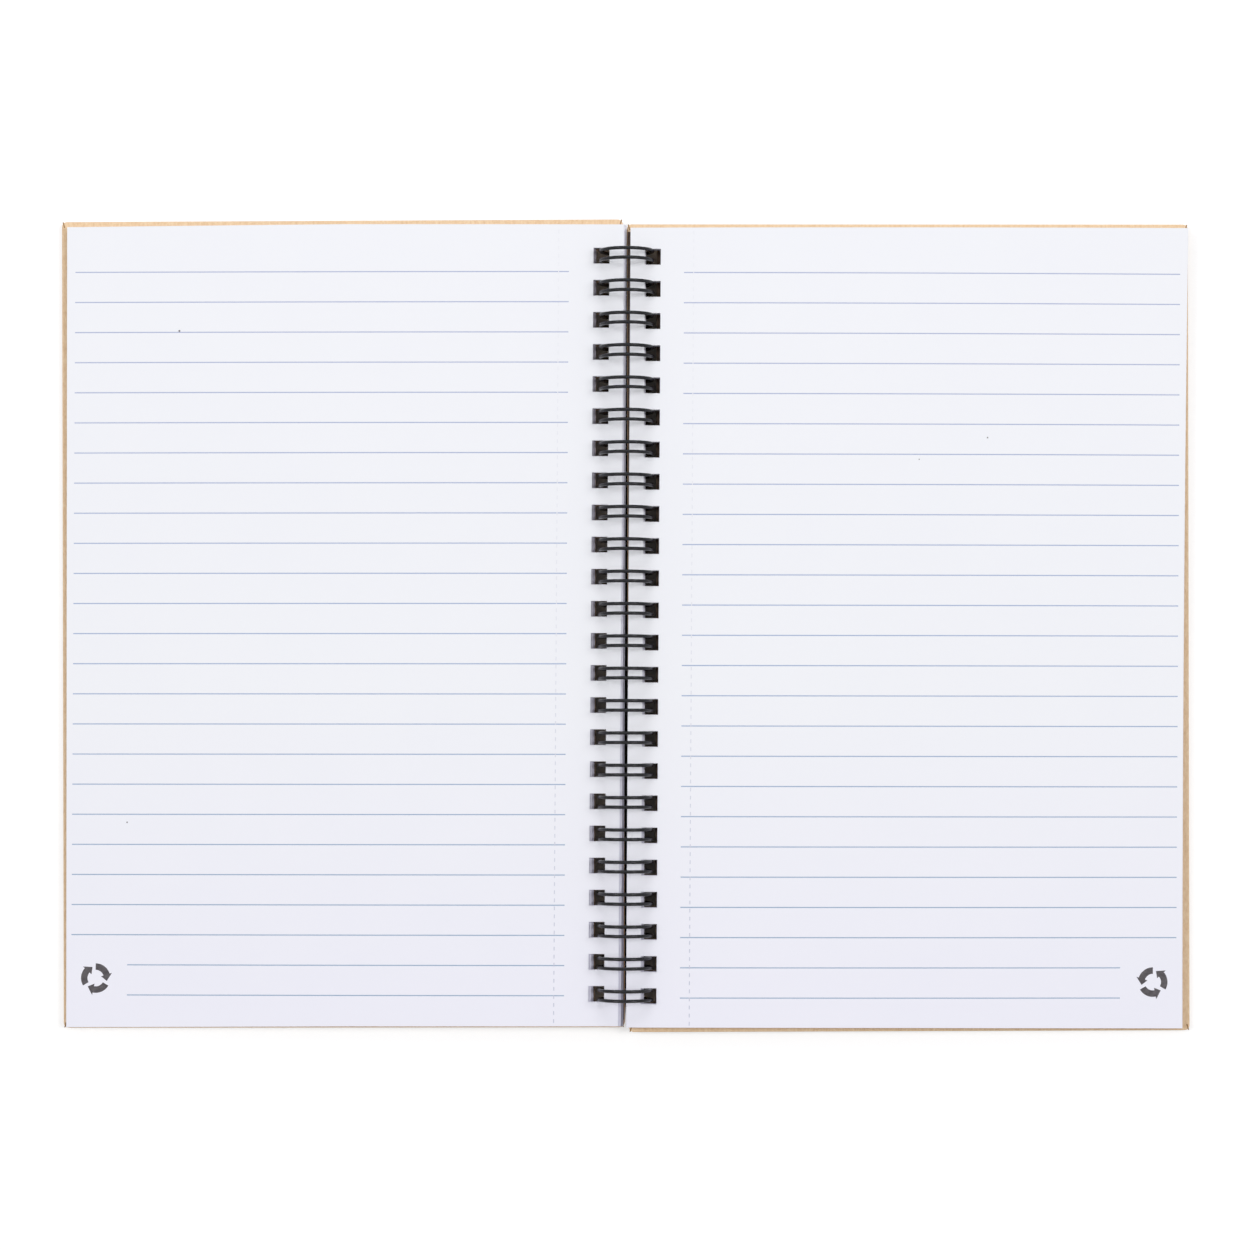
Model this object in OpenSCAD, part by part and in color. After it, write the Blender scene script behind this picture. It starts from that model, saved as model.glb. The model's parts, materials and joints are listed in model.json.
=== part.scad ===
// An open notebook with two hard covers, two stacks of punched sheets and a twin-loop wire.
// X runs across the spread, Y up the page along the spine, Z up from the table.
// The origin lies on the table, under the middle of the wire.

/* [Sheets] */
// Width of a sheet, from its spine edge to its fore edge
sheet_w = 146.65; // [120:0.05:180]
// Height of a sheet
sheet_h = 211.2; // [180:0.1:250]
// Thickness of the left stack when pressed
left_paper = 1.9; // [1:0.05:4]
// Thickness of the right stack when pressed
right_paper = 3.55; // [1:0.05:6]
// Gap between the stacks in the closed book
close_gap = 0.15; // [0.1:0.01:0.4]
// Rise of the left stack's top above a straight line, at mid page
left_arch = 0.6; // [0.2:0.05:0.8]
// Rise of the right stack's top above a straight line, at mid page
right_arch = 0.9; // [0.2:0.05:1.2]
// How much further out the left stack's spine edge and holes lie at the foot than at the head
left_slant = 1.1; // [0:0.1:1.4]
// How much further in the right stack's spine edge and holes lie at the foot than at the head
right_slant = 0.9; // [0:0.1:1.1]
// How much further in the right stack's fore edge lies at the foot than at the head
right_fore_slant = 1.1; // [0:0.1:1.4]
// Shift of the right stack towards the spine, within the play of its holes
right_shift = 0.05; // [0:0.05:0.15]

/* [Covers] */
// Thickness of a cover board
cover_t = 2; // [1.2:0.1:2.6]
// Overhang of a cover past the sheets' fore edges
fore_overhang = 1.95; // [1:0.05:4]
// Overhang of a cover past the sheets' heads and feet
end_overhang = 1.2; // [0.5:0.1:3]
// Radius of a cover's four corners, seen from above
corner_r = 1.5; // [0.8:0.1:5]
// Rounding of a cover's arrises
arris_r = 0.5; // [0.2:0.05:0.55]
// Turn of each cover in its own plane, in degrees
cover_turn = 0.25; // [0:0.01:0.28]
// How far each cover lies outwards of the middle of the play in its holes
cover_slip = 0.45; // [0.4:0.05:0.6]

/* [Holes] */
// Play between the wire and a hole, to each side along the spine
hole_slack = 0.4; // [0.25:0.05:0.6]
// Distance from a sheet's spine edge to the middle of its holes
sheet_inset = 5.85; // [5:0.05:6.2]
// Distance from a cover's spine edge to the middle of its holes
cover_inset = 5.45; // [4.8:0.05:5.5]
// Least distance from a sheet's head or foot to the middle of its first hole
end_margin = 7; // [5:0.5:12]

/* [Wire] */
// Diameter of the wire
wire_d = 0.9; // [0.7:0.05:1.1]
// Distance from one twin loop to the next
loop_pitch = 8.467; // [7.6:0.001:9.6]
// Distance between the two wires of one loop, centre to centre
loop_gap = 2.5; // [2.1:0.05:3]
// Room between the covers of the closed book and the inside of the loops
ring_room = 1.65; // [1.4:0.05:3]
// Bend radius where a loop turns into the next one, at the seam
base_bend = 0.9; // [0.7:0.05:1.2]
// Room between a loop's tip and the wire it closes against
seam_room = 0.15; // [0.1:0.05:0.4]
// Length of the cut wire beyond the first and the last loop
wire_end = 1; // [0.5:0.1:1.6]
// How much the wire swells where a bend begins, in radius
bend_swell = 0.02; // [0.015:0.005:0.05]

/* [Hidden] */
$fn = 48;

// Heights in a leaf are counted from the middle of the loops: sheets and cover lie below it.
half_book = (left_paper + right_paper + close_gap) / 2;
cover_low = half_book + cover_t;
ring_r = cover_low + ring_room + wire_d / 2;

// The loops follow one another along the spine, centred on the sheets.
loop_count = floor((sheet_h - 2 * end_margin) / loop_pitch) + 1;
loop_first = -(loop_count - 1) * loop_pitch / 2;
hole_w = loop_gap + wire_d + 2 * hole_slack;
left_drop = -hole_slack * 3 / 8;
right_drop = hole_slack * 3 / 4;

// Where the wire passes a level at depth z below the loops' middle, and its half width there.
function wire_x(z) = sqrt(ring_r * ring_r - z * z);
function wire_half(z) = wire_d / 2 * ring_r / wire_x(z);

// The holes lie around the wire, and the edges of sheets and covers follow the holes.
sheet_hole_x = (wire_x(half_book) - wire_half(half_book) + ring_r + wire_d / 2) / 2;
cover_hole_x = (wire_x(cover_low) - wire_half(cover_low)
    + wire_x(half_book) + wire_half(half_book)) / 2 + cover_slip;
sheet_spine_x = sheet_hole_x - sheet_inset;
sheet_fore_x = sheet_spine_x + sheet_w;
cover_spine_x = cover_hole_x - cover_inset;
cover_fore_x = sheet_fore_x + fore_overhang;
cover_w = cover_fore_x - cover_spine_x;
cover_h = sheet_h + 2 * end_overhang;

// Each left sheet hangs out as far as the wire does at its own height.
left_lean = wire_x(half_book - left_paper) - wire_x(half_book);

// At the seam the tip of each loop closes against the bends at its own base.
tip_r = loop_gap / 2;
seam_l = sqrt(pow(tip_r + base_bend + wire_d + seam_room, 2) - pow(tip_r + base_bend, 2));
seam_mid = (tip_r + seam_l - base_bend) / 2;
tip_angle = -90 - seam_mid / ring_r * 180 / PI;
base_angle = -90 + (seam_l - seam_mid) / ring_r * 180 / PI;
tip_depth = -ring_r * sin(tip_angle) - tip_r * cos(tip_angle);
base_depth = -ring_r * sin(base_angle) + base_bend * cos(base_angle);
ring_z = max(tip_depth, base_depth) + wire_d / 2;

// The open leaves slope from the loops down to the table, where their fore edges rest.
rest_x = cover_fore_x - arris_r + cover_h / 2 * sin(cover_turn);
rest_z = cover_low - arris_r;
leaf_tilt = asin((ring_z - arris_r) / norm([rest_x, rest_z])) - atan2(rest_z, rest_x);

// Runs and bends of wire stop this far short of a joint, inside its swelling.
joint_short = 0.1;
function short_angle(r) = joint_short / r * 180 / PI;

card = "#dcb98c";
paper = "#f1f2f8";
steel = "#2c2c31";

// An arched stack's top is drawn in this many strips.
arch_steps = 24;

// Cuts run past the solids that they cut by this much.
past = 1;

module rounded_box_outline(size, r) {
    translate([r, 0]) square([size.x - 2 * r, size.y]);
    translate([0, r]) square([size.x, size.y - 2 * r]);
    for (x = [r, size.x - r], y = [r, size.y - r])
        translate([x, y]) circle(r);
}

// Raises a drawing made in X and Z so that it runs along Y, centred.
module along_y(length) {
    rotate([90, 0, 0]) linear_extrude(length, center = true) children();
}

// Raises a drawing made in Y and Z so that it runs along X.
module along_x(length) {
    rotate([90, 0, 90]) linear_extrude(length) children();
}

module at_each_loop() {
    for (i = [0 : loop_count - 1])
        translate([0, loop_first + i * loop_pitch, 0]) children();
}

// A wrapped board, flat, with its spine edge and underside at zero.
module board() {
    intersection() {
        translate([0, -cover_h / 2, 0])
            linear_extrude(cover_t) rounded_box_outline([cover_w, cover_h], corner_r);
        along_y(cover_h) rounded_box_outline([cover_w, cover_t], arris_r);
        translate([0, -cover_h / 2, 0])
            along_x(cover_w) rounded_box_outline([cover_h, cover_t], arris_r);
    }
}

// The right-hand cover in its leaf's own frame, turned about the middle of its fore edge.
module cover_leaf() {
    difference() {
        translate([cover_fore_x, 0, -cover_low]) rotate([0, 0, cover_turn])
            translate([-cover_w, 0, 0]) board();
        at_each_loop()
            translate([cover_hole_x - hole_w / 2, -hole_w / 2, -cover_low - past])
                cube([hole_w, hole_w, cover_t + 2 * past]);
    }
}

// Outline in X and Z of a stack between two edges, leaning outwards by lean from bottom to top.
module leaning(from_x, to_x, top, thick, lean) {
    low = -half_book - past;
    high = top + past;
    out_low = -lean / thick * past;
    out_high = lean / thick * (high + half_book);
    polygon([
        [from_x + out_low, low],
        [to_x + out_low, low],
        [to_x + out_high, high],
        [from_x + out_high, high]
    ]);
}

// Outline in X and Z of a stack with an arched top, running a little past both its edges.
module arched(spine, top, rise) {
    step = sheet_w / arch_steps;
    polygon(concat(
        [for (k = [-1 : arch_steps + 1])
            [spine + k * step, top + rise * (1 - pow(2 * k / arch_steps - 1, 2))]],
        [[spine + sheet_w + step, -half_book], [spine - step, -half_book]]
    ));
}

// A stack of sheets in its leaf's own frame, with X outwards.
// The slants say how much further out an edge lies at the foot than at the head.
module page_leaf(thick, rise, lean, shift, drop, spine_slant, fore_slant) {
    top = -half_book + thick;
    crown = top + rise;
    spine = sheet_spine_x + shift;
    fore = sheet_fore_x + shift;
    middle = spine + sheet_inset;
    reach = 4 * sheet_h;
    difference() {
        translate([0, -drop, 0]) intersection() {
            along_y(sheet_h) arched(spine, top, rise);
            translate([spine, 0, 0]) rotate([0, 0, atan(spine_slant / sheet_h)])
                along_y(reach) leaning(0, 2 * sheet_w, crown, thick, lean);
            translate([fore, 0, 0]) rotate([0, 0, atan(fore_slant / sheet_h)])
                along_y(reach) leaning(-2 * sheet_w, 0, crown, thick, lean);
        }
        for (i = [0 : loop_count - 1]) {
            y = loop_first + i * loop_pitch;
            translate([middle - spine_slant * y / sheet_h, y - drop, 0])
                along_y(hole_w) leaning(-hole_w / 2, hole_w / 2, crown, thick, lean);
        }
    }
}

// Puts a leaf on the right of the loops, sloping down to the table.
module lay_right() {
    translate([0, 0, ring_z]) rotate([0, leaf_tilt, 0]) children();
}

// Puts a leaf drawn for the right onto the left, as its mirror image.
module lay_left() {
    mirror([1, 0, 0]) lay_right() children();
}

// A bent piece of wire in the plane of Y and Z, its angle counted from Y towards Z.
module bend(r, start, sweep) {
    short = short_angle(r);
    rotate([90, 0, 90])
        rotate_extrude(angle = sweep - 2 * short, start = start + short, $fn = 24)
            translate([r, 0]) circle(d = wire_d);
}

// The round swelling where two pieces of the wire run into each other.
module swelling() {
    sphere(d = wire_d + 2 * bend_swell);
}

// Frame on the loops at an angle: X outwards, Y along the spine, Z the way the angle grows.
module on_ring(angle) {
    rotate([0, -angle, 0]) translate([ring_r, 0, 0]) children();
}

// A straight run of wire along the spine, between two joints.
module wire_run(length) {
    translate([0, joint_short, 0]) rotate([-90, 0, 0])
        cylinder(d = wire_d, h = length - 2 * joint_short);
}

// The two wires of a loop, all the way round from the seam to the seam.
module loop_wires() {
    short = short_angle(ring_r);
    rotate([90, 0, 0])
        rotate_extrude(angle = 360 + tip_angle - base_angle - 2 * short,
            start = base_angle + short, $fn = 96)
            for (side = [-1, 1])
                translate([ring_r, side * tip_r]) circle(d = wire_d);
}

// The bend that joins a loop's two wires at its tip.
module loop_tip() {
    on_ring(tip_angle) {
        bend(tip_r, 0, 180);
        for (side = [-1, 1]) translate([0, side * tip_r, 0]) swelling();
    }
}

// The two bends at a loop's base, where its wires turn along the spine.
module loop_base() {
    on_ring(base_angle) {
        translate([0, tip_r + base_bend, 0]) bend(base_bend, 180, 90);
        translate([0, -tip_r - base_bend, 0]) bend(base_bend, 270, 90);
        for (side = [-1, 1]) {
            translate([0, side * tip_r, 0]) swelling();
            translate([0, side * (tip_r + base_bend), -base_bend]) swelling();
        }
    }
}

// The straight run at a loop's base, from its second bend towards the next loop.
module base_run(length) {
    on_ring(base_angle)
        translate([0, tip_r + base_bend, -base_bend]) wire_run(length);
}

module front_cover() {
    color(card) rotate([0, 0, 180]) lay_right() cover_leaf();
}

module left_pages() {
    color(paper) lay_left()
        page_leaf(left_paper, left_arch, left_lean, 0, left_drop, left_slant, 0);
}

module wire_binding() {
    between = loop_pitch - 2 * (tip_r + base_bend);
    color(steel) translate([0, 0, ring_z]) {
        for (i = [0 : loop_count - 1])
            translate([0, loop_first + i * loop_pitch, 0]) {
                loop_wires();
                loop_tip();
                loop_base();
                base_run(i < loop_count - 1 ? between : wire_end);
            }
        translate([0, loop_first, 0]) mirror([0, 1, 0]) base_run(wire_end);
    }
}

module right_pages() {
    color(paper) lay_right()
        page_leaf(right_paper, right_arch, 0, -right_shift, right_drop,
            -right_slant, -right_fore_slant);
}

module back_cover() {
    color(card) lay_right() cover_leaf();
}

front_cover();
left_pages();
wire_binding();
right_pages();
back_cover();
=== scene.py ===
"""Looks of an open twin-loop notebook: sheets, ruling, wrapped covers, wire, light and camera.

Lengths in the functions are in millimetres in a leaf's own frame: X from the loops outwards,
Y up the page, Z from the middle of the loops. Leaf.place() turns them into metres in the frame.
Materials, lamps and the table are in metres in the frame itself.
"""

import json
import math
import random

import bpy
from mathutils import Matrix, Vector


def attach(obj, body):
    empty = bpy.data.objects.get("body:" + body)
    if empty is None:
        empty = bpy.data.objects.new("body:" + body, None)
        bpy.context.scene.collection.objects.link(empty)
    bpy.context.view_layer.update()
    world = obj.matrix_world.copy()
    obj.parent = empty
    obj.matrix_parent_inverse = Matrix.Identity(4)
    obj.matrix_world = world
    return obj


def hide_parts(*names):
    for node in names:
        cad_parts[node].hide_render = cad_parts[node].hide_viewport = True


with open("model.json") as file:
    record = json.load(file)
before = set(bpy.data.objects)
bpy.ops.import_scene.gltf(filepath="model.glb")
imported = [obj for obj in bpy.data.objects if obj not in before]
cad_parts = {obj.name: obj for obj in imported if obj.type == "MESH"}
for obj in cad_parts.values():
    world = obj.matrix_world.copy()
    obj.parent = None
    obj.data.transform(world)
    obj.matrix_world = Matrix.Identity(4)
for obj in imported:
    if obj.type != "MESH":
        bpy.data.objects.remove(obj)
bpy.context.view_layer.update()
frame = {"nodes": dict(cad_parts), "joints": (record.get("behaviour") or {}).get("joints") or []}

MM = 0.001
HAIR = 1e-6
WHITE = (1.0, 1.0, 1.0, 1.0)

# The part's own sizes, in millimetres
SHEET_W = 146.65
SHEET_H = 211.2
HALF_BOOK = 2.8
SHEET_SPINE_X = 0.732
SHEET_INSET = 5.85
HOLE_W = 4.2
LOOP_COUNT = 24
LOOP_PITCH = 8.467
LEAF_TILT = math.radians(1.0216)
COVER_W = 148.767
COVER_H = 213.6
COVER_FORE_X = 149.332
COVER_HOLE_X = 6.015
COVER_TURN = math.radians(0.25)
RING_Z = frame["joints"][0]["pos_m"][2] / MM

FIRST_HOLE = -(LOOP_COUNT - 1) * LOOP_PITCH / 2
HOLE_MIDDLES = [FIRST_HOLE + i * LOOP_PITCH for i in range(LOOP_COUNT)]

# The dark sheet inside each cover, painted dark brown as the shade in the holes and between the
# stacks, and the distance of its grid's columns
SHADE_SHEET_T = 0.12
SHADE_SHEET_INSET = 2.9
SHADE_SHEET_END_INSET = 2.05
SHADE_SHEET_SPINE_INSET = 0.2
SHADE_SHEET_GRID = 15
SHADE_SHEET_COLUMNS = 8

# The fold of the wrap at a cover's corners, painted as its shade: its points from the side edge
# and from the end
FOLD_OUTLINE = ((0.2, 0.1), (0.5, 0.1), (0.95, 1.6), (0.6, 1.6))

# The room that each sheet has in the stack, how much of it the paper fills, how far the lower
# sheets stray outwards and up the page, and the share of its step out of line that a bundle
# of them has lost at the fore edge
PAPER_T = 0.078
PAPER_SOLID = PAPER_T * 0.8
STRAY_OUT = 0.035
STRAY_UP = 0.05
STEP_LOST = 0.7
LOWER_COLUMNS = 8

# The ruling printed on each page, and the distance of a ruled page's grid columns
RULE_COUNT = 25
SHORT_RULES = 2
RULE_PITCH = 7.96
RULE_T = 0.27
SHORT_BY = 14.9
PAGE_GRID = 4.0
PAGE_COLUMNS = 32

# The rim beside a punched hole, where shade is painted
RIM = 0.7

# What lies flat on a page lies this far above it
PRINT_LIFT = 0.02

# A stack's materials, by number
PAGE, INK, SHADED_EDGE, BY_HOLE_SHADE = range(4)

# Colours by height run this far up and down from the middle of the page, in metres
HEIGHT_REACH = 0.11

# A Mix node's sockets for colours, which have the same names as those for numbers
MIX_A, MIX_B, MIX_RESULT = 6, 7, 2

# The room looks white, but lights less than it shows
ROOM_SHOWN = 1.0
ROOM_LIGHT = 0.34

# A soft lamp on each side: where it stands for the right one, its slant from straight above,
# its spread, and what share of a white surface's light each one gives to the page
SIDE_LAMP_AT = (0.77, 0.12, 1.0)
SIDE_LAMP_SLANT = math.radians(38)
SIDE_LAMP_SPREAD = math.radians(20)
SIDE_LAMPS = (("right_light", 1, 0.26), ("left_light", -1, 0.23))

# A weaker lamp beyond the head: place, size and watts
HEAD_LAMP_AT = (0.0, 0.75, 0.8)
HEAD_LAMP_SIZE = (0.9, 0.5)
HEAD_LAMP_POWER = 2.6

# The table: half its side, its glow to the camera, and the part under the loops without glow,
# which shows darker there as painted shade under the loops
TABLE_REACH = 3.0
TABLE_GLOW = 0.5
UNDER_LOOPS = (("X", 0.011), ("Y", 0.1))
GLOW_FADE = 0.006

# The camera looks straight down, at the scale that the photograph has at the holes.
# It stands towards the foot of the page, as the arcs of the loops show, and the frame is
# shifted back by the same share of its height.
FRAME_SHIFT = 0.1
PHOTO_PX = 1250
PX_PER_MM = 3.791
CAMERA_RISE = 950.0
HOLE_LEVEL = 6.5
SPINE_PX = 625.8
MIDDLE_PX = 625.5
ROLL = math.radians(0.124)
SENSOR = 36.0
CLIP_END = 20


class Leaf:
    """One side of the spread: where its stack lies and how its points come into the frame.

    side: -1 on the left, 1 on the right. name, cover: the stack's node and its cover's.
    thick, arch: the stack's thickness at its edges, and what it has more half-way across.
    lean: how far the top sheet's spine edge lies out from the lowest one's.
    shift, drop: how far the whole stack lies outwards and towards the foot.
    slants: how far the spine edge and the fore edge run out from head to foot.
    rules: the first line's distance from the head, the margins at the spine and fore edges,
    how far the lines' fore ends run out from head to foot, and the lines' tilt.
    steps: how much more the bundles step out of line at the foot than at the head, as a share,
    and for each bundle the level of its top and its step.
    cuts: how far up the head edge and the foot edge lie at the spine, in the middle and at
    the fore edge, and how far out the ends of the fore edge lie.
    """

    def __init__(
        self, side, name, cover, thick, arch, lean, shift, drop, slants, rules, steps, cuts
    ):
        self.side = side
        self.name = name
        self.cover = cover
        self.thick = thick
        self.arch = arch
        self.lean = lean
        self.spine = SHEET_SPINE_X + shift
        self.drop = drop
        self.slant, self.fore_slant = slants
        self.rule_head, self.rule_spine, self.rule_fore, self.rule_slant, self.rule_tilt = rules
        self.fan, self.steps = steps
        self.head_cut, self.foot_cut, self.fore_bow = cuts

    def place(self, x, y, z):
        """A leaf point in millimetres as a frame point in metres."""
        out = x * math.cos(LEAF_TILT) + z * math.sin(LEAF_TILT)
        up = RING_Z - x * math.sin(LEAF_TILT) + z * math.cos(LEAF_TILT)
        return Vector((self.side * out * MM, y * MM, up * MM))

    def height(self, across, level):
        """Top of the stack's part up to level (0 to 1), at a share of the way to the fore edge."""
        base = -HALF_BOOK + SHADE_SHEET_T
        bulge = 1 - (2 * across - 1) ** 2
        return base + level * (self.thick - SHADE_SHEET_T + self.arch * bulge)

    def step(self, level, y):
        """How far the bundle of sheets at that level lies out of line with the top one."""
        out = next(out for top, out in self.steps if level <= top + HAIR)
        return out * (1 - self.fan * y / SHEET_H)

    def cut(self, d, y):
        """How far out and up the sheets' own edges lie from a true rectangle's."""
        out = self.fore_bow * (2 * y / SHEET_H) ** 2 if d > SHEET_W - HAIR else 0.0
        ends = {SHEET_H / 2: self.head_cut, -SHEET_H / 2: self.foot_cut}
        at_spine, at_middle, at_fore = ends.get(y, (0.0, 0.0, 0.0))
        part = 2 * d / SHEET_W - 1
        rise = at_fore - at_middle if part > 0 else at_middle - at_spine
        return out, at_middle + part * rise

    def point(self, d, y, level, lift=0.0, nudge=(0.0, 0.0)):
        """A point d from the spine edge and y up the page, on the sheet at that level."""
        across = d / SHEET_W
        out, up = self.cut(d, y)
        slant = self.slant + across * (self.fore_slant - self.slant)
        x = self.spine + self.lean * level + self.step(level, y) * (1 - STEP_LOST * across)
        x += d + out + nudge[0] - slant * y / SHEET_H
        return self.place(x, y + up - self.drop + nudge[1], self.height(across, level) + lift)


LEFT = Leaf(
    side=-1,
    name="left_pages",
    cover="front_cover",
    thick=1.9,
    arch=0.6,
    lean=0.535,
    shift=0.0,
    drop=-0.15,
    slants=(1.1, -0.2),
    rules=(12.5, 14.4, 1.75, 1.0, math.radians(-0.086)),
    steps=(1.35, ((0.3, -0.5), (0.8, -0.36), (1.0, 0.0))),
    cuts=((0.0, 0.0, -0.7), (-0.28, -0.5, -1.0), 0.0),
)
RIGHT = Leaf(
    side=1,
    name="right_pages",
    cover="back_cover",
    thick=3.55,
    arch=0.9,
    lean=0.0,
    shift=-0.05,
    drop=0.3,
    slants=(-0.75, -1.1),
    rules=(12.32, 14.1, 1.5, 0.3, math.radians(0.06)),
    steps=(1.0, ((0.35, 0.62), (0.7, 0.3), (1.0, 0.0))),
    cuts=((-0.6, -0.3, 0.0), (0.0, 0.0, -0.1), 0.4),
)


def linear(red, green, blue):
    """A colour given as 0 to 255 on screen, as the shader's own values."""
    def one(v):
        v /= 255
        return v / 12.92 if v <= 0.04045 else ((v + 0.055) / 1.055) ** 2.4
    return (one(red), one(green), one(blue), 1.0)


def new_material(name, roughness, specular=0.2):
    """A material, its node tree and its shader."""
    material = bpy.data.materials.new(name)
    material.use_nodes = True
    tree = material.node_tree
    shader = tree.nodes["Principled BSDF"]
    shader.inputs["Roughness"].default_value = roughness
    shader.inputs["Specular IOR Level"].default_value = specular
    return material, tree, shader


def noise(tree, scale, detail, stretch=(1, 1, 1), rough=0.55):
    """Noise in object space, scale in cells a metre, stretched along the axes."""
    coords = tree.nodes.new("ShaderNodeTexCoord")
    mapping = tree.nodes.new("ShaderNodeMapping")
    mapping.inputs["Scale"].default_value = stretch
    texture = tree.nodes.new("ShaderNodeTexNoise")
    texture.inputs["Scale"].default_value = scale
    texture.inputs["Detail"].default_value = detail
    texture.inputs["Roughness"].default_value = rough
    tree.links.new(coords.outputs["Object"], mapping.inputs["Vector"])
    tree.links.new(mapping.outputs["Vector"], texture.inputs["Vector"])
    return texture.outputs["Fac"]


def ramp(tree, value, stops):
    """Colours by value: stops are (position, colour of 0 to 255)."""
    node = tree.nodes.new("ShaderNodeValToRGB")
    elements = node.color_ramp.elements
    while len(elements) < len(stops):
        elements.new(0.5)
    for element, (position, colour) in zip(elements, stops):
        element.position = position
        element.color = linear(*colour)
    tree.links.new(value, node.inputs["Fac"])
    return node.outputs["Color"]


def maths(tree, operation, *values):
    """What a Math node makes of its values, each of them a socket or a number."""
    node = tree.nodes.new("ShaderNodeMath")
    node.operation = operation
    for socket, value in zip(node.inputs, values):
        if isinstance(value, float):
            socket.default_value = value
        else:
            tree.links.new(value, socket)
    return node.outputs["Value"]


def map_range(tree, value, ends, kind="LINEAR"):
    """A value carried from one range to another: ends are those that aren't 0 or 1, by name."""
    node = tree.nodes.new("ShaderNodeMapRange")
    node.interpolation_type = kind
    for end, number in ends.items():
        node.inputs[end].default_value = number
    tree.links.new(value, node.inputs["Value"])
    return node.outputs["Result"]


def object_axes(tree):
    """The sockets X, Y and Z of a surface point, in metres in the frame."""
    coords = tree.nodes.new("ShaderNodeTexCoord")
    parts = tree.nodes.new("ShaderNodeSeparateXYZ")
    tree.links.new(coords.outputs["Object"], parts.inputs["Vector"])
    return parts.outputs


def bump(tree, shader, value, distance, strength):
    """Tiny relief, distance in metres."""
    node = tree.nodes.new("ShaderNodeBump")
    node.inputs["Strength"].default_value = strength
    node.inputs["Distance"].default_value = distance
    tree.links.new(value, node.inputs["Height"])
    tree.links.new(node.outputs["Normal"], shader.inputs["Normal"])


def by_height(tree, stops):
    """Colours along the spine: stops are (metres up the page, colour)."""
    ends = {"From Min": -HEIGHT_REACH, "From Max": HEIGHT_REACH}
    share = map_range(tree, object_axes(tree)["Y"], ends)
    span = 2 * HEIGHT_REACH
    return ramp(tree, share, [((y + HEIGHT_REACH) / span, colour) for y, colour in stops])


def mottled(tree, share, stops):
    """Two colours along the spine, mixed by a share: stops are (metres up the page, two)."""
    mix = tree.nodes.new("ShaderNodeMix")
    mix.data_type = "RGBA"
    tree.links.new(share, mix.inputs["Factor"])
    for number, socket in enumerate((MIX_A, MIX_B)):
        colour = by_height(tree, [(y, pair[number]) for y, *pair in stops])
        tree.links.new(colour, mix.inputs[socket])
    return mix.outputs[MIX_RESULT]


def paper_material():
    """Smooth white writing paper, faintly cloudy, and a little more lilac towards the foot."""
    material, tree, shader = new_material("writing_paper", 0.85)
    colour = mottled(tree, noise(tree, 60, 3), [
        (-0.1, (240, 240, 251), (243, 242, 252)),
        (-0.02, (243, 244, 250), (245, 246, 251)),
    ])
    tree.links.new(colour, shader.inputs["Base Color"])
    bump(tree, shader, noise(tree, 4000, 2), 0.00001, 0.3)
    return material


def shaded_edge_material():
    """The sheets below the top one, and the cut edges of the stack: painted shade, faintly lilac,
    darker towards the foot.
    """
    material, tree, shader = new_material("paper_edges_shade", 0.9)
    colour = mottled(tree, noise(tree, 700, 3, stretch=(1, 1, 8)), [
        (-0.1, (210, 209, 224), (226, 225, 238)),
        (0.08, (232, 231, 242), (246, 246, 251)),
    ])
    tree.links.new(colour, shader.inputs["Base Color"])
    return material


def hole_shade_material():
    """Painted shade on the paper round the holes, darkest towards the head."""
    material, tree, shader = new_material("painted_hole_shade", 0.9)
    colour = mottled(tree, noise(tree, 2200, 2), [
        (-0.1, (206, 204, 220), (220, 219, 233)),
        (0.08, (132, 128, 138), (176, 172, 182)),
    ])
    tree.links.new(colour, shader.inputs["Base Color"])
    return material


def ruling_material():
    """Light blue ruling ink, a little stronger towards the foot."""
    material, tree, shader = new_material("ruling_ink", 0.8)
    colour = mottled(tree, noise(tree, 900, 2), [
        (-0.08, (146, 168, 195), (158, 180, 204)),
        (0.0, (158, 174, 208), (170, 186, 217)),
        (0.07, (171, 179, 210), (183, 191, 220)),
    ])
    tree.links.new(colour, shader.inputs["Base Color"])
    return material


def slit_material():
    """The shade in a row of short slits, deeper where the page lifts towards the foot."""
    material, tree, shader = new_material("perforation", 0.9)
    colour = by_height(tree, [
        (-0.1, (202, 204, 221)),
        (-0.06, (212, 214, 228)),
        (0.0, (232, 233, 241)),
        (0.08, (240, 241, 247)),
    ])
    tree.links.new(colour, shader.inputs["Base Color"])
    return material


def print_material(name, ink):
    """Ink, a dark speck, or the painted shade of a fold: nearly as matt as the paper, and slightly
    uneven.
    """
    fade = 0.12
    faded = [c + (255 - c) * fade for c in ink]
    material, tree, shader = new_material(name, 0.8)
    colour = ramp(tree, noise(tree, 900, 2), [(0.35, ink), (0.75, faded)])
    tree.links.new(colour, shader.inputs["Base Color"])
    return material


def card_material():
    """Plain brown wrapping paper over board, with fine fibres in lighter and darker tan."""
    material, tree, shader = new_material("brown_card", 0.8, 0.25)
    fibres = noise(tree, 1700, 6, stretch=(1, 0.35, 1), rough=0.7)
    colour = ramp(tree, fibres, [
        (0.3, (224, 189, 150)),
        (0.5, (236, 205, 168)),
        (0.72, (244, 220, 188)),
    ])
    tree.links.new(colour, shader.inputs["Base Color"])
    bump(tree, shader, fibres, 0.00004, 0.5)
    return material


def shade_sheet_material():
    """Painted shade: a dark brown sheet on the inside of the covers, which stands for the shade
    deep in the holes and in the gap between the stacks.
    """
    material, tree, shader = new_material("painted_shade_sheet", 0.85)
    colour = ramp(tree, noise(tree, 1400, 4), [(0.3, (84, 68, 60)), (0.7, (100, 82, 72))])
    tree.links.new(colour, shader.inputs["Base Color"])
    return material


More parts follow.
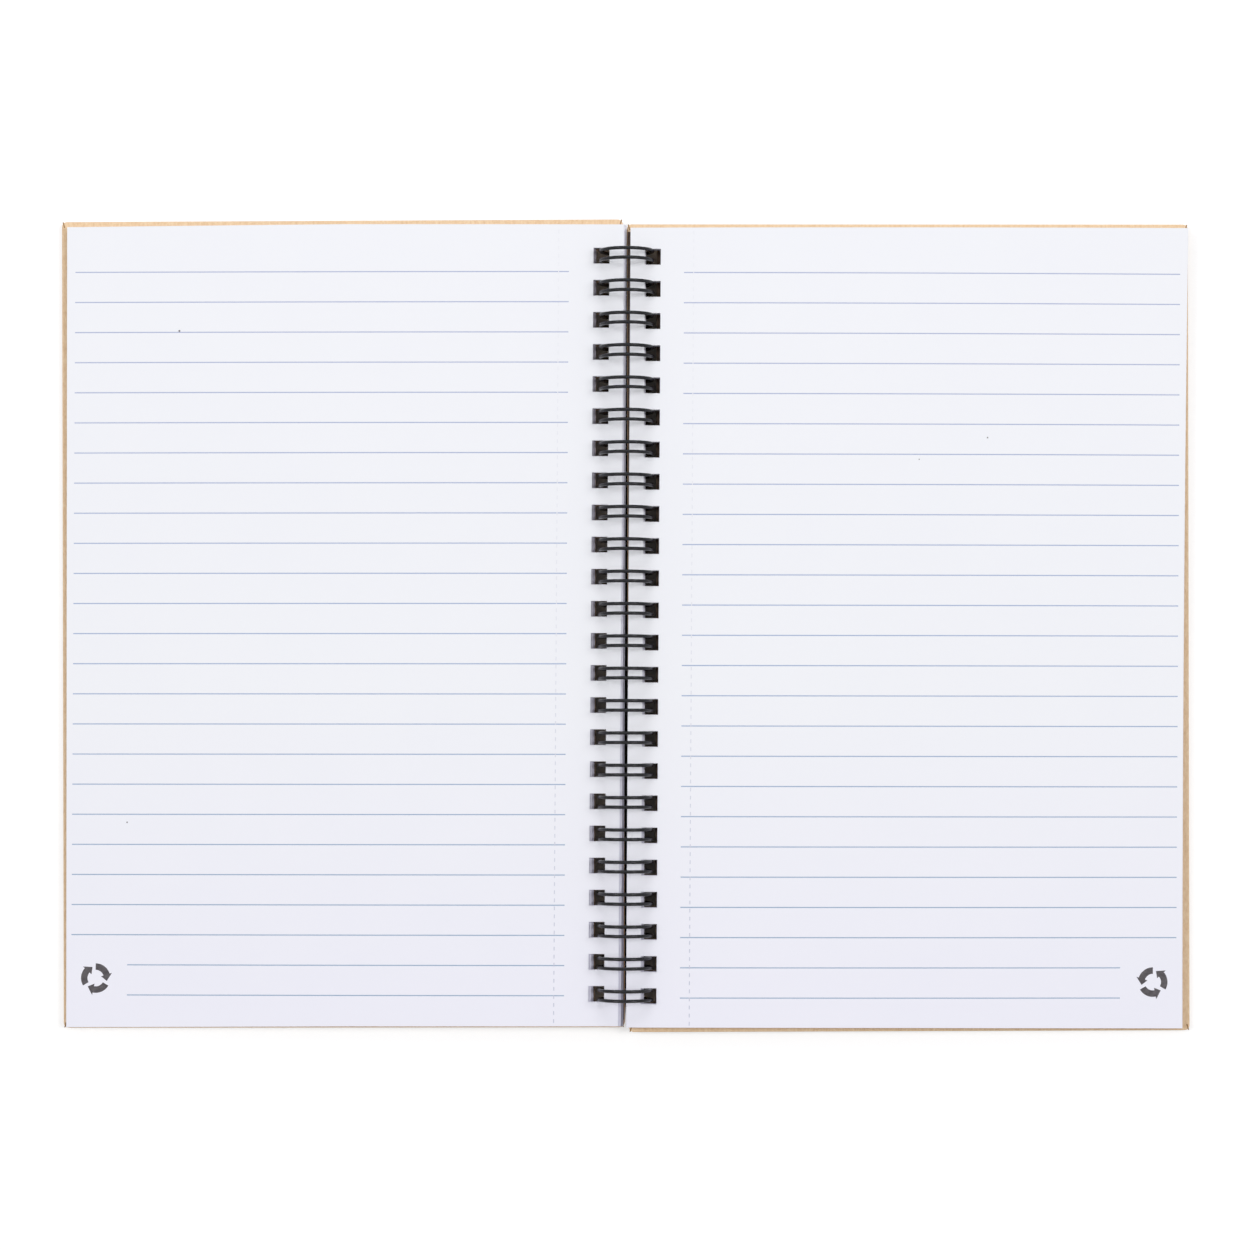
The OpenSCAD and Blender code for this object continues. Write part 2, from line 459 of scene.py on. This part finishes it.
def wire_material():
    """Steel wire in a thin dark coat."""
    material, tree, shader = new_material("coated_wire", 0.25, 0.28)
    colour = ramp(tree, noise(tree, 500, 3), [(0.35, (10, 10, 15)), (0.8, (20, 20, 28))])
    tree.links.new(colour, shader.inputs["Base Color"])
    bump(tree, shader, noise(tree, 2500, 2), 0.000008, 0.4)
    return material


PAPER = paper_material()
SHADED_EDGES = shaded_edge_material()
HOLE_SHADE = hole_shade_material()
RULING = ruling_material()
SLIT = slit_material()
MARK = print_material("mark_ink", (84, 80, 84))
SPECK = print_material("speck", (120, 116, 118))
FOLD_SHADE = print_material("painted_fold_shade", (150, 112, 72))
CARD = card_material()
DARK_SHADE_SHEET = shade_sheet_material()
WIRE = wire_material()


def new_piece(name, points, faces, materials, body, choice=None):
    """A mesh from points in metres that rides on a body; choice picks each face's material."""
    mesh = bpy.data.meshes.new(name)
    mesh.from_pydata([tuple(p) for p in points], [], faces)
    for material in materials:
        mesh.materials.append(material)
    if choice:
        mesh.polygons.foreach_set("material_index", choice)
    mesh.update()
    piece = bpy.data.objects.new(name, mesh)
    bpy.context.scene.collection.objects.link(piece)
    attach(piece, body)
    return piece


def join_meshes(parts):
    """One list of points and faces from several, with the faces' material choices."""
    points, faces, choice = [], [], []
    for more_points, more_faces, more_choice in parts:
        start = len(points)
        points += more_points
        faces += [tuple(start + i for i in face) for face in more_faces]
        choice += more_choice
    return points, faces, choice


def facing_up(leaf, faces):
    """Faces turned round on the left, where the mirror image would show their backs."""
    return [tuple(reversed(face)) for face in faces] if leaf.side < 0 else faces


def plate(columns, rows, top, bottom, missing, ink=None, sides=(0, 0), back=None):
    """A thin plate on a grid, with the cells that missing() names left out and walled.

    top and bottom give a grid point's place on each face; ink and back pick a cell's material
    on each, and sides are those of the plate's outer walls and the walls round missing cells.
    """
    wide, high = len(columns), len(rows)
    points = [top(x, y) for y in rows for x in columns]
    points += [bottom(x, y) for y in rows for x in columns]
    under = wide * high
    faces, choice = [], []

    def inside(i, j):
        return 0 <= i < wide - 1 and 0 <= j < high - 1

    def middle(i, j):
        return (columns[i] + columns[i + 1]) / 2, (rows[j] + rows[j + 1]) / 2

    def solid(i, j):
        return inside(i, j) and not missing(*middle(i, j))

    for j in range(high - 1):
        for i in range(wide - 1):
            if not solid(i, j):
                continue
            a = j * wide + i
            b, c, d = a + 1, a + wide + 1, a + wide
            faces.append((a, b, c, d))
            choice.append(ink(*middle(i, j)) if ink else 0)
            faces.append((under + d, under + c, under + b, under + a))
            choice.append(back(*middle(i, j)) if back else sides[0])
            for neighbour, (p, q) in (
                ((i, j - 1), (a, b)),
                ((i + 1, j), (b, c)),
                ((i, j + 1), (c, d)),
                ((i - 1, j), (d, a)),
            ):
                if not solid(*neighbour):
                    faces.append((q, p, under + p, under + q))
                    choice.append(sides[int(inside(*neighbour))])
    return points, faces, choice


def in_hole_row(y):
    """Whether y lies within one of the rows of holes."""
    return min(abs(middle - y) for middle in HOLE_MIDDLES) < HOLE_W / 2


def in_sheet_hole(d, y):
    return abs(d - SHEET_INSET) < HOLE_W / 2 and in_hole_row(y)


def hole_rows(half):
    """Grid rows of a punched plate that reaches half this way and half that."""
    rows = [-half, half]
    for middle in HOLE_MIDDLES:
        rows += [middle - HOLE_W / 2, middle + HOLE_W / 2]
    return sorted(rows)


def punched_columns():
    """Grid columns of a sheet from its spine edge to just past its holes."""
    outer = SHEET_INSET + HOLE_W / 2
    return [0.0, SHEET_INSET - HOLE_W / 2, outer, outer + RIM]


def rim_or_edge(d, y):
    """The material of a lower sheet's cell: the painted shade of the holes beside a hole, the
    painted shade of the edges elsewhere.
    """
    return BY_HOLE_SHADE if in_sheet_hole(d - RIM, y) else SHADED_EDGE


def lower_sheet(leaf, level, chance):
    """One sheet below the top one, a hair out of line with its neighbours."""
    nudge = (chance.gauss(0, STRAY_OUT), chance.gauss(0, STRAY_UP))
    return plate(
        punched_columns() + [SHEET_W * k / LOWER_COLUMNS for k in range(1, LOWER_COLUMNS + 1)],
        hole_rows(SHEET_H / 2),
        lambda d, y: leaf.point(d, y, level, 0.0, nudge),
        lambda d, y: leaf.point(d, y, level, -PAPER_SOLID, nudge),
        in_sheet_hole,
        rim_or_edge,
        sides=(SHADED_EDGE, BY_HOLE_SHADE),
    )


def ruled_sheet(leaf, level, under=False):
    """A sheet with its ruling: the page that shows, or the lowest one, ruled on its underside."""
    first = SHEET_H / 2 - leaf.rule_head
    rules = [first - i * RULE_PITCH for i in range(RULE_COUNT)]
    last = SHEET_W - leaf.rule_fore

    def bare(lift):
        return lambda d, y: leaf.point(d, y, level, lift)

    def ruled(lift):
        def place(d, y):
            if leaf.rule_spine < d < SHEET_W:
                d -= leaf.rule_slant * y / SHEET_H
            if abs(y) < SHEET_H / 2:
                y += leaf.rule_tilt * (d - SHEET_W / 2)
            return leaf.point(d, y, level, lift)
        return place

    def ink(d, y):
        number = min(range(RULE_COUNT), key=lambda i: abs(rules[i] - y))
        short = number >= RULE_COUNT - SHORT_RULES
        end = last - SHORT_BY if short else last
        return INK if abs(rules[number] - y) < RULE_T / 2 and d < end else PAGE

    strip = plate(
        punched_columns() + [leaf.rule_spine],
        hole_rows(SHEET_H / 2),
        bare(0.0),
        bare(-PAPER_SOLID),
        in_sheet_hole,
        rim_or_edge if under else None,
        sides=(SHADED_EDGE, BY_HOLE_SHADE),
        back=lambda d, y: PAGE,
    )
    rows = [-SHEET_H / 2, SHEET_H / 2]
    for rule in rules:
        rows += [rule - RULE_T / 2, rule + RULE_T / 2]
    columns = [leaf.rule_spine + PAGE_GRID * k for k in range(PAGE_COLUMNS)]
    columns += [last - SHORT_BY, last, SHEET_W]
    page = plate(
        sorted(columns),
        sorted(rows),
        ruled(0.0),
        ruled(-PAPER_SOLID),
        lambda d, y: False,
        (lambda d, y: SHADED_EDGE) if under else ink,
        back=ink if under else None,
    )
    return join_meshes([strip, page])


def stack(leaf, name):
    """All the sheets of one side, the lowest first."""
    chance = random.Random(name)
    count = round((leaf.thick - SHADE_SHEET_T) / PAPER_T)
    sheets = [ruled_sheet(leaf, 1 / count, under=True)]
    sheets += [lower_sheet(leaf, (k + 1) / count, chance) for k in range(1, count - 1)]
    points, faces, choice = join_meshes(sheets + [ruled_sheet(leaf, 1.0)])
    faces = facing_up(leaf, faces)
    materials = [PAPER, RULING, SHADED_EDGES, HOLE_SHADE]
    piece = new_piece(name, points, faces, materials, leaf.name, choice)
    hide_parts(leaf.name)


def turned(x, y):
    """A point of a cover, turned with it in its own plane."""
    turn = math.sin(COVER_TURN)
    return x - y * turn, y + (x - COVER_FORE_X) * turn


def lay_shade_sheet(leaf, name):
    """The dark sheet of painted shade on the inside of a cover, inset from its edges and holed
    like it.
    """
    past_holes = COVER_HOLE_X + HOLE_W / 2
    columns = [COVER_HOLE_X - HOLE_W / 2, past_holes]
    columns += [COVER_FORE_X - COVER_W + SHADE_SHEET_SPINE_INSET, COVER_FORE_X - SHADE_SHEET_INSET]
    columns += [past_holes + SHADE_SHEET_GRID * k for k in range(1, SHADE_SHEET_COLUMNS + 1)]
    columns.sort()
    rows = hole_rows(COVER_H / 2 - SHADE_SHEET_END_INSET)

    def place(x, y, z):
        """Only the outer edges are turned: the holes stand straight in the cover too."""
        out, up = turned(x, y)
        if x not in (columns[0], columns[-1]):
            out = x
        if y not in (rows[0], rows[-1]):
            up = y
        return leaf.place(out, leaf.side * up, z)

    points, faces, choice = plate(
        columns,
        rows,
        lambda x, y: place(x, y, -HALF_BOOK + SHADE_SHEET_T),
        lambda x, y: place(x, y, -HALF_BOOK),
        lambda x, y: abs(x - COVER_HOLE_X) < HOLE_W / 2 and in_hole_row(y),
    )
    new_piece(name, points, faces, [DARK_SHADE_SHEET], leaf.cover, choice)


def wrap_creases(leaf, name):
    """The mitred folds of the wrap at a cover's corners, each a thin crease by the edge, painted
    darker as the shade in the fold.
    """
    points, faces = [], []
    for spine in (True, False):
        for head in (-1, 1):
            face = tuple(range(len(points), len(points) + len(FOLD_OUTLINE)))
            for along, inwards in FOLD_OUTLINE:
                x = COVER_FORE_X - COVER_W + along if spine else COVER_FORE_X - along
                out, up = turned(x, head * (COVER_H / 2 - inwards))
                points.append(leaf.place(out, leaf.side * up, -HALF_BOOK + PRINT_LIFT))
            faces.append(face if spine == (head < 0) else tuple(reversed(face)))
    new_piece(name, points, faces, [FOLD_SHADE], leaf.cover)


def flat_print(leaf, name, outlines, material):
    """Flat shapes on the top page, each a list of (d, y) points."""
    points, faces = [], []
    for outline in outlines:
        faces.append(tuple(range(len(points), len(points) + len(outline))))
        points += [leaf.point(d, y, 1.0, PRINT_LIFT) for d, y in outline]
    new_piece(name, points, facing_up(leaf, faces), [material], leaf.name)


def perforation(leaf, name, d):
    """A row of short slits along the spine, where a sheet tears out."""
    pitch, length, width = 2.125, 1.0, 0.24
    near, far = d - width / 2, d + width / 2
    outlines = []
    for k in range(int(SHEET_H / pitch)):
        y = -SHEET_H / 2 + (k + 0.5) * pitch
        low, high = y - length / 2, y + length / 2
        outlines.append([(near, low), (far, low), (far, high), (near, high)])
    flat_print(leaf, name, outlines, SLIT)


def on_circle(d, y, radius, angle):
    return d + radius * math.cos(angle), y + radius * math.sin(angle)


def arrow_ring(leaf, name, d, y):
    """A plain mark of three curved arrows that follow each other round."""
    radius, half_width, half_head = 3.05, 0.86, 1.53
    sweep, point, steps = math.radians(72), math.radians(32), 10
    outlines = []
    for k in range(3):
        start = math.radians(90 + 120 * k)
        angles = [start + sweep * i / steps for i in range(steps + 1)]
        for a, b in zip(angles, angles[1:]):
            outlines.append([
                on_circle(d, y, radius - half_width, a),
                on_circle(d, y, radius + half_width, a),
                on_circle(d, y, radius + half_width, b),
                on_circle(d, y, radius - half_width, b),
            ])
        outlines.append([
            on_circle(d, y, radius - half_head, angles[-1]),
            on_circle(d, y, radius + half_head, angles[-1]),
            on_circle(d, y, radius, start + sweep + point),
        ])
    flat_print(leaf, name, outlines, MARK)


def speck(leaf, name, d, y, radius):
    """A small round speck in the paper."""
    corners = 10
    outline = [on_circle(d, y, radius, math.tau * k / corners) for k in range(corners)]
    flat_print(leaf, name, [outline], SPECK)


def dress(node, material):
    """Gives a CAD node one material."""
    for place in frame["nodes"][node].material_slots:
        place.material = material


def build_notebook():
    stack(LEFT, "left_sheets")
    stack(RIGHT, "right_sheets")
    perforation(LEFT, "left_perforation", 17.1)
    perforation(RIGHT, "right_perforation", 16.6)
    arrow_ring(LEFT, "left_mark", 138.8, -93.6)
    arrow_ring(RIGHT, "right_mark", 139.1, -93.5)
    speck(LEFT, "left_speck", 116.9, 77.5, 0.28)
    speck(LEFT, "left_faint_speck", 130.5, -52.4, 0.2)
    speck(RIGHT, "right_faint_speck", 94.3, 50.0, 0.2)
    speck(RIGHT, "right_small_speck", 76.3, 44.2, 0.16)
    lay_shade_sheet(LEFT, "front_shade_sheet")
    lay_shade_sheet(RIGHT, "back_shade_sheet")
    wrap_creases(LEFT, "front_creases")
    wrap_creases(RIGHT, "back_creases")
    dress("front_cover", CARD)
    dress("back_cover", CARD)
    dress("wire_binding", WIRE)


def away_from_loops(tree):
    """0 on the table under the loops, 1 from some way beside them or past their ends."""
    axes = object_axes(tree)
    sides = []
    for axis, reach in UNDER_LOOPS:
        ends = {"From Min": reach, "From Max": reach + GLOW_FADE}
        sides.append(map_range(tree, maths(tree, "ABSOLUTE", axes[axis]), ends, "SMOOTHSTEP"))
    return maths(tree, "MAXIMUM", *sides)


def seen_directly(tree):
    """1 for what the camera or a reflection sees, 0 for what only lights other things."""
    path = tree.nodes.new("ShaderNodeLightPath")
    return maths(tree, "MAXIMUM", path.outputs["Is Camera Ray"], path.outputs["Is Glossy Ray"])


def floor_material():
    """White table: it shows white to the camera where no shadow falls, but has no glow under the
    loops, where it shows darker as painted shade.
    """
    material, tree, shader = new_material("white_table", 0.9, 0.1)
    shader.inputs["Base Color"].default_value = linear(205, 205, 206)
    shader.inputs["Emission Color"].default_value = WHITE
    glow = maths(tree, "MULTIPLY", seen_directly(tree), TABLE_GLOW)
    shown = maths(tree, "MULTIPLY", glow, away_from_loops(tree))
    tree.links.new(shown, shader.inputs["Emission Strength"])
    return material


def build_floor():
    corners = [(-1, -1), (1, -1), (1, 1), (-1, 1)]
    points = [(x * TABLE_REACH, y * TABLE_REACH, 0) for x, y in corners]
    mesh = bpy.data.meshes.new("table_top")
    mesh.from_pydata(points, [], [(0, 1, 2, 3)])
    mesh.materials.append(floor_material())
    floor = bpy.data.objects.new("table_top", mesh)
    bpy.context.scene.collection.objects.link(floor)


def aim(lamp, name, place):
    """A lamp at a place, turned towards the middle of the table."""
    light = bpy.data.objects.new(name, lamp)
    light.location = place
    light.rotation_euler = (-light.location).to_track_quat("-Z", "Y").to_euler()
    bpy.context.scene.collection.objects.link(light)


def build_light():
    """A white room with a soft lamp on each side and a weaker one beyond the head."""
    world = bpy.data.worlds.new("white_room")
    bpy.context.scene.world = world
    world.use_nodes = True
    tree = world.node_tree
    background = tree.nodes["Background"]
    background.inputs["Color"].default_value = WHITE
    ends = {"To Min": ROOM_LIGHT, "To Max": ROOM_SHOWN}
    strength = map_range(tree, seen_directly(tree), ends)
    tree.links.new(strength, background.inputs["Strength"])
    out, up_page, high = SIDE_LAMP_AT
    for name, side, share in SIDE_LAMPS:
        lamp = bpy.data.lights.new(name, "SUN")
        lamp.angle = SIDE_LAMP_SPREAD
        lamp.energy = share * math.pi / math.cos(SIDE_LAMP_SLANT)
        aim(lamp, name, (out * side, up_page, high))
    lamp = bpy.data.lights.new("head_light", "AREA")
    lamp.shape = "RECTANGLE"
    lamp.size, lamp.size_y = HEAD_LAMP_SIZE
    lamp.energy = HEAD_LAMP_POWER
    aim(lamp, "head_light", HEAD_LAMP_AT)


def build_camera():
    """Straight down, placed by where the loops' line and the middle row lie in the photo."""
    data = bpy.data.cameras.new("camera")
    data.sensor_width = SENSOR
    data.lens = SENSOR * CAMERA_RISE / (PHOTO_PX / PX_PER_MM)
    data.clip_end = CLIP_END
    camera = bpy.data.objects.new("camera", data)
    half = PHOTO_PX / 2
    back = FRAME_SHIFT * PHOTO_PX / PX_PER_MM
    data.shift_y = FRAME_SHIFT
    camera.location = (
        ((half - SPINE_PX) / PX_PER_MM + back * math.sin(ROLL)) * MM,
        ((MIDDLE_PX - half) / PX_PER_MM - back * math.cos(ROLL)) * MM,
        (HOLE_LEVEL + CAMERA_RISE) * MM,
    )
    camera.rotation_euler = (0, 0, ROLL)
    bpy.context.scene.collection.objects.link(camera)
    bpy.context.scene.camera = camera


build_notebook()
build_floor()
build_light()
build_camera()
bpy.context.scene.view_settings.view_transform = "Standard"
